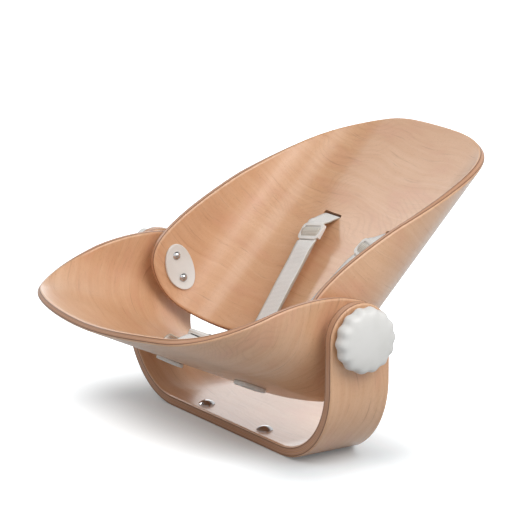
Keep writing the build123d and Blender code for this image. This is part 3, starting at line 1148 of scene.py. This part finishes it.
@dataclass
class Hardware(Assembly):
    """Pivot plates, screws, hubs, washers, bolts, knobs and cap nuts."""

    def dress(self) -> None:
        """Give the fittings their materials, and the knobs and plates their moulded shapes."""
        self.paint(self.finishes.chrome, "base_cap_nuts")
        for side in Side:
            self.paint(self.finishes.white, side.node("hub_spacer"), side.node("hub_plate"))
            self.paint(self.finishes.chrome, side.node("plate_screws"))
            self.paint(self.finishes.fibre, side.node("friction_washer"))
            self.paint(self.finishes.steel, side.node("pivot_bolt"))
            self.paint(self.finishes.brass, side.node("knob_insert"))
            knob = Knob().build(side, self.finishes.white)
            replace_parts(knob, side.node("knob"))
            plate = OvalPlate().build(side, self.finishes.white)
            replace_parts(plate, side.node("oval_plate"))


@dataclass
class Keeper:
    """Three-bar keeper that holds a strap's looped end under a shell.

    Attributes:
        long: Length along the webbing's width.
        short: Width.
        thick: Thickness.
        border: Width of its rim.
        bar: Width of the middle bar.
        window: Width of each of the two windows.
        soft: Rounding of the bar.
        gap: Distance from the shell.
    """

    long: float = 38 * MM
    short: float = 16 * MM
    thick: float = 4 * MM
    border: float = 3 * MM
    bar: float = 2.8 * MM
    window: float = 3.6 * MM
    soft: float = 0.8 * MM
    gap: float = 0.05 * MM

    @property
    def offset(self) -> float:
        """Distance from the middle bar to a window's middle."""
        return (self.bar + self.window) / 2

    def build(self, name: str, place: Matrix, finish: Material) -> Object:
        """Round a frame about a middle bar and lay it in place.

        Args:
            name: The piece's name.
            place: From the keeper's own frame to the seat.
            finish: Its material.

        Returns:
            The keeper.
        """
        straight = 0.2 * MM
        overlap = 1.0 * MM
        bar_height = self.thick * 0.9
        mesh = rounded_frame(self.long, self.short, self.short / 2 - straight, self.border, self.thick)
        bar = Vector((self.long - 2 * self.border + overlap, self.bar, bar_height))
        add_block(mesh, bar, Vector(), self.soft)
        lay(mesh, place)
        return add_piece(name, mesh, finish, "seat")


@dataclass
class Slider:
    """Strap adjuster: a rounded frame over the webbing, a bar under it, and the hump of webbing between.

    Attributes:
        width: Size across the strap.
        length: Size along the strap.
        height: Height of the side rails.
        border: Width of the frame on top.
        bar: Width of the side rails and of the bar below.
        channel: Height of the webbing's channel.
        corner: Radius of the frame's corners.
        inset: How far the side rails lie inside the frame.
        ends: How much shorter the rails are than the frame, and the bar than its width.
        soft: Rounding of the rails and of the bar.
    """

    width: float = 32.6 * MM
    length: float = 20.8 * MM
    height: float = 4.6 * MM
    border: float = 3.8 * MM
    bar: float = 3.2 * MM
    channel: float = 1.8 * MM
    corner: float = 6.0 * MM
    inset: float = 0.2 * MM
    ends: tuple[float, float] = (4 * MM, 2 * MM)
    soft: tuple[float, float] = (0.7 * MM, 0.6 * MM)

    def build(self, side: Side, place: Matrix, finishes: Finishes) -> list[Object]:
        """Shape the frame and its hump of webbing.

        Args:
            side: The side of the seat.
            place: From the slider's own frame, with the strap along Y, to the seat.
            finishes: The materials.

        Returns:
            The frame and the hump.
        """
        body = side.node("slider")
        cap = (self.height - self.channel) / 2
        middle = (self.channel + cap) / 2
        mesh = rounded_frame(self.width, self.length, self.corner, self.border, cap)
        bmesh.ops.translate(mesh, vec=(0, 0, middle), verts=mesh.verts)
        thin = 2 * self.inset
        rail = Vector((self.bar - thin, self.length - self.ends[0], self.height - thin))
        reach = (self.width - self.bar - self.inset) / 2
        for way in (-1, 1):
            add_block(mesh, rail, Vector((way * reach, 0, -self.inset)), self.soft[0])
        bar = Vector((self.width - self.ends[1], self.bar, cap))
        add_block(mesh, bar, Vector((0, 0, -middle)), self.soft[1])
        lay(mesh, place)
        frame = add_piece(side.node("slider_frame"), mesh, finishes.white, body)
        # The hump's points along the strap and above it, in millimetres
        arch = [(-4.8, 0.3), (-4.2, 1.5), (-2.2, 2.5), (0.4, 2.6), (3.0, 2.0), (5.2, 1.1), (7.0, 0.4)]
        route = [place @ (Vector((0, along, up)) * MM) for along, up in arch]
        wide = place.to_3x3() @ Vector((1, 0, 0))
        hump = Strap(side.node("slider_hump"), route, wide, thick=1.0 * MM)
        # The hump takes the darker webbing, which is painted shade.
        return [frame, hump.build(finishes.shaded_hump, finishes.strap_edge, body)]


@dataclass
class Harness(Assembly):
    """Straps, sliders, keepers and buckle. Places on a shell are millimetres in its frame.

    Attributes:
        buckle: The buckle's place along and above the front shell.
        back_keeper: Place of the shoulder straps' keepers along and across the back shell.
        lap_slot: Place of the lap slots along and across the front shell.
        crotch_slot: Place of the crotch slot along the front shell.
        travel: How far a slider runs down its strap.
        slack: Start of the gathered layer below the slider, and its end beyond the slider's travel.
        lift: How far the second layer lies off the strap.
        aside: How far the second layer lies aside, so that both layers show.
    """

    buckle: tuple[float, float] = (-28.7, -58.5)
    back_keeper: tuple[float, float] = (139.1, 55.5)
    lap_slot: tuple[float, float] = (-18.5, 78)
    crotch_slot: float = -72
    travel: float = 45 * MM
    slack: tuple[float, float] = (11.5 * MM, 23.5 * MM)
    lift: float = 2.3 * MM
    aside: float = 1.2 * MM

    def dress(self) -> None:
        """Lay the straps, set the sliders and keepers, and give the buckle its materials."""
        tongues = [side.node("buckle_tongue") for side in Side]
        self.paint(self.finishes.white, *tongues, "buckle_body")
        self.paint(self.finishes.grey, "buckle_button")
        for side in Side:
            self.shoulder(side)
            self.lap(side)
        self.crotch()
        self.keepers()

    def at_buckle(self, x: float, y: float, z: float) -> Vector:
        """World point from millimetres in the buckle's frame, which lies in the front shell's frame."""
        return FRONT.at(self.buckle[0] + x, y, self.buckle[1] + z)

    def strap(self, name: str, route: Sequence[Vector], wide: Vector) -> None:
        """Lay a strap that stands for a CAD node."""
        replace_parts(self.layer(f"{name}_webbing", route, wide), name)

    def layer(self, name: str, route: Sequence[Vector], wide: Vector) -> Object:
        """Lay a length of webbing on the seat.

        Args:
            name: The piece's name.
            route: Listed points.
            wide: Direction across the strap.

        Returns:
            The webbing.
        """
        made = Strap(name, route, wide).build(self.finishes.webbing, self.finishes.strap_edge, "seat")
        return made

    def shoulder(self, side: Side) -> None:
        """Lay the strap from the back slot through the slider to the buckle tongue.

        Args:
            side: The side of the seat.
        """
        slider = BACK.at(107.8, 50.0, -47.0)
        low = BACK.at(19.5, 31.0, -49.5)
        heading = (low - slider).normalized()
        route = [BACK.at(139.8, 55.5, -70), BACK.at(139.7, 55.5, -66), BACK.at(138.4, 55.4, -60.8)]
        route += [BACK.at(134.6, 55, -57.2), BACK.at(126.5, 53.8, -51.6), slider - heading * 12 * MM]
        route += [slider, slider.lerp(low, 0.5), low]
        down = [Vector((21, 22, 86.5)) * MM, self.at_buckle(56.8, 17.6, 3.3)]
        down += [self.at_buckle(52.9, 17, 2.0), self.at_buckle(52.5, 17, -1)]
        self.strap(side.node("shoulder_strap"), side.route(route + down), SIDEWAYS)
        self.second_layer(side, slider, heading, [low, *down[:2]])
        self.adjuster(side, slider, heading)

    def second_layer(self, side: Side, slider: Vector, heading: Vector, rest: Sequence[Vector]) -> None:
        """Lay the webbing that comes back from the buckle tongue to the slider.

        Args:
            side: The side of the seat.
            slider: The slider's place.
            heading: The strap's way down from it.
            rest: The strap's last listed points, down to the tongue.
        """
        over = heading.cross(SIDEWAYS).normalized() * -self.lift
        over += Vector((0, -self.aside, 0)) * side.value
        begin, end = self.slack[0], self.travel + self.slack[1]
        # Distances below the slider, each with its share of the lift
        sag = [(begin, 0.35), (16 * MM, 0.8), (24 * MM, 1.15), (40 * MM, 0.9), (end, 1.1)]
        upper = [slider + heading * below + over * share for below, share in sag]
        gather = self.layer(side.node("shoulder_strap_slack"), side.route(upper), SIDEWAYS)
        side.node("slider_slide")
        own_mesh(gather)
        low, bend, tongue = rest
        lower = [upper[-1], low + over, bend + over, tongue + Vector((3.0, 0, -2.4)) * MM]
        self.layer(side.node("shoulder_strap_return"), side.route(lower), SIDEWAYS)

    def adjuster(self, side: Side, slider: Vector, heading: Vector) -> None:
        """Set a slider on its strap.

        Args:
            side: The side of the seat.
            slider: The slider's place.
            heading: The strap's way down from it.
        """
        run = side.at(heading)
        across = square_to(run, SIDEWAYS)
        turn = Matrix((across, run, across.cross(run))).transposed().to_4x4()
        place = Matrix.Translation(side.at(slider)) @ turn
        frame, hump = Slider().build(side, place, self.finishes)
        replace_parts(frame, side.node("strap_slider"))

    def lap(self, side: Side) -> None:
        """Lay the strap from the lap slot to the buckle tongue.

        Args:
            side: The side of the seat.
        """
        route = [FRONT.at(*self.lap_slot, n) for n in (-85, -80.5, -76.5)]
        route += [FRONT.at(-16.5, 76.2, -71.5), FRONT.at(-10.5, 67, -68), FRONT.at(-2, 53, -63)]
        route += [self.at_buckle(35, 37.9, 2.5), self.at_buckle(35, 34.6, 1.6), self.at_buckle(35, 34, -1)]
        wide = FRONT.at(1, 0, 0) - FRONT.at(0, 0, 0)
        self.strap(side.node("lap_strap"), side.route(route), wide.normalized())

    def crotch(self) -> None:
        """Lay the strap from the buckle to the crotch slot."""
        route = [self.at_buckle(-14, 0, 0), self.at_buckle(-22, 0, -1.2)]
        route += [FRONT.at(self.crotch_slot, 0, n) for n in (-81, -86, -91)]
        self.strap("crotch_strap", route, SIDEWAYS)

    def keepers(self) -> None:
        """Set the keepers under the slots, each flat against its shell."""
        keeper = Keeper()
        crosswise = Matrix.Rotation(pi / 2, 4, "Z") @ Matrix.Translation((0, -keeper.offset, 0))
        for side in Side:
            u, y = self.lap_slot
            shift = Matrix.Translation((0, -side.value * keeper.offset, 0))
            self.keeper(keeper, side.node("lap_retainer"), FRONT, u, side.value * y, shift)
            u, y = self.back_keeper
            self.keeper(keeper, side.node("back_retainer"), BACK, u, side.value * y, crosswise)
        self.keeper(keeper, "crotch_retainer", FRONT, self.crotch_slot, 0, crosswise)

    def keeper(self, keeper: Keeper, name: str, bend: Bend, u: float, y: float, turn: Matrix) -> None:
        """Lay one keeper against the underside of a shell.

        Args:
            keeper: The keeper's sizes.
            name: The CAD node that it stands for.
            bend: The shell.
            u: Place along the shell in millimetres.
            y: Place across the shell in millimetres.
            turn: The keeper's turn and shift about its strap.
        """
        drop = bend.crown + bend.ply + keeper.thick / 2 + keeper.gap
        tilt = Matrix.Rotation(asin(y * MM / drop), 4, "X")
        frame = Matrix.Translation(bend.origin) @ Matrix.Rotation(radians(bend.slope), 4, "Y")
        centre = Matrix.Translation((u * MM, 0, bend.crown - bend.depth))
        place = frame @ centre @ tilt @ Matrix.Translation((0, 0, -drop)) @ turn
        made = keeper.build(f"{name}_frame", place, self.finishes.white)
        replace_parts(made, name)


@dataclass(frozen=True)
class Lamp:
    """A soft square lamp, by its name, its place, its side and its power."""

    name: str
    place: tuple[float, float, float]
    size: float
    watts: float

    def hang(self, target: Vector) -> None:
        """Hang the lamp and aim it.

        Args:
            target: The point that it is aimed at.
        """
        data = bpy.data.lights.new(self.name, "AREA")
        data.size = self.size
        data.energy = self.watts
        made = add_object(self.name, data)
        made.location = self.place
        made.rotation_euler = (target - Vector(self.place)).to_track_quat("-Z", "Y").to_euler()


@dataclass
class Studio:
    """Floor, light and camera.

    Attributes:
        azimuth: Camera's turn about Z in degrees.
        elevation: Camera's height angle in degrees.
        distance: Camera's distance.
        centre: Point that the view turns about.
        shift: How far the view's middle lies right of and above that point.
        focal: Focal length in pixels of the frame.
        frame_pixels: Width of the frame in pixels.
        sensor: Width of the camera's sensor in millimetres.
        far: Distance up to which the camera sees.
        floor_size: Half the side of the floor.
        lamps: The lamps.
    """

    azimuth: float = -33.66
    elevation: float = 14.14
    distance: float = 3150 * MM
    centre: Vector = field(default_factory=lambda: Vector((0, 0, 105 * MM)))
    shift: tuple[float, float] = (3.8535 * MM, 72.92 * MM)
    focal: float = 3050.6
    frame_pixels: int = 512
    sensor: float = 36
    far: float = 50
    floor_size: float = 12
    lamps: tuple[Lamp, ...] = (
        Lamp("front", (0.5, -2.7, 2.7), 2.4, 82),
        Lamp("left", (-1.8, -1.05, 2.8), 1.4, 15),
        Lamp("back", (-0.5, 2.0, 1.2), 0.7, 5.6),
        Lamp("low", (1.7, 2.5, 0.8), 1.2, 4.0),
    )

    def camera(self) -> None:
        """Put the camera where the photograph was taken from."""
        turn, rise = radians(self.azimuth), radians(self.elevation)
        right = Vector((cos(turn), sin(turn), 0))
        back = Vector((sin(turn) * cos(rise), -cos(turn) * cos(rise), sin(rise)))
        up = back.cross(right)
        data = bpy.data.cameras.new("camera")
        data.sensor_width = self.sensor
        data.lens = self.focal / self.frame_pixels * self.sensor
        data.clip_end = self.far
        made = add_object("camera", data)
        made.matrix_world = Matrix((right, up, back)).transposed().to_4x4()
        made.location = self.centre + right * self.shift[0] + up * self.shift[1] + back * self.distance
        bpy.context.scene.camera = made

    def floor(self) -> None:
        """Lay a wide pale floor that keeps the seat's shadow."""
        mesh = bmesh.new()
        bmesh.ops.create_grid(mesh, x_segments=2, y_segments=2, size=self.floor_size)
        made = add_object("floor", mesh_data("floor", mesh, PaleFloor().make("floor")))

    def world(self) -> None:
        """Set white surroundings with a dark ceiling, dimmer as a light than as a background."""
        world = bpy.data.worlds.new("world")
        bpy.context.scene.world = world
        graph = Graph(world)
        _, _, height = graph.split(graph.node("ShaderNodeTexCoord", output="Generated"))
        strength = 0.46 + graph.seen() * (0.54 - height.ramp(0.5, 0.85) * 0.85)
        shader = graph.node("ShaderNodeBackground", None, {"Color": (1, 1, 1, 1), "Strength": strength})
        graph.node("ShaderNodeOutputWorld", None, {"Surface": shader})

    def build(self) -> None:
        """Set the stage."""
        self.camera()
        self.floor()
        self.world()
        for lamp in self.lamps:
            lamp.hang(self.centre)
        bpy.context.scene.view_settings.view_transform = "Standard"


def main() -> None:
    """Load the frame, dress it and set the stage."""
    logging.basicConfig(level=logging.INFO, format="%(name)s %(message)s")
    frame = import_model()
    finishes = Finishes()
    for part in (Boards, Hardware, Harness):
        part(frame["nodes"], finishes).dress()
        log.info("%s dressed", part.__name__)
    Studio().build()


if __name__ == "__main__":
    main()
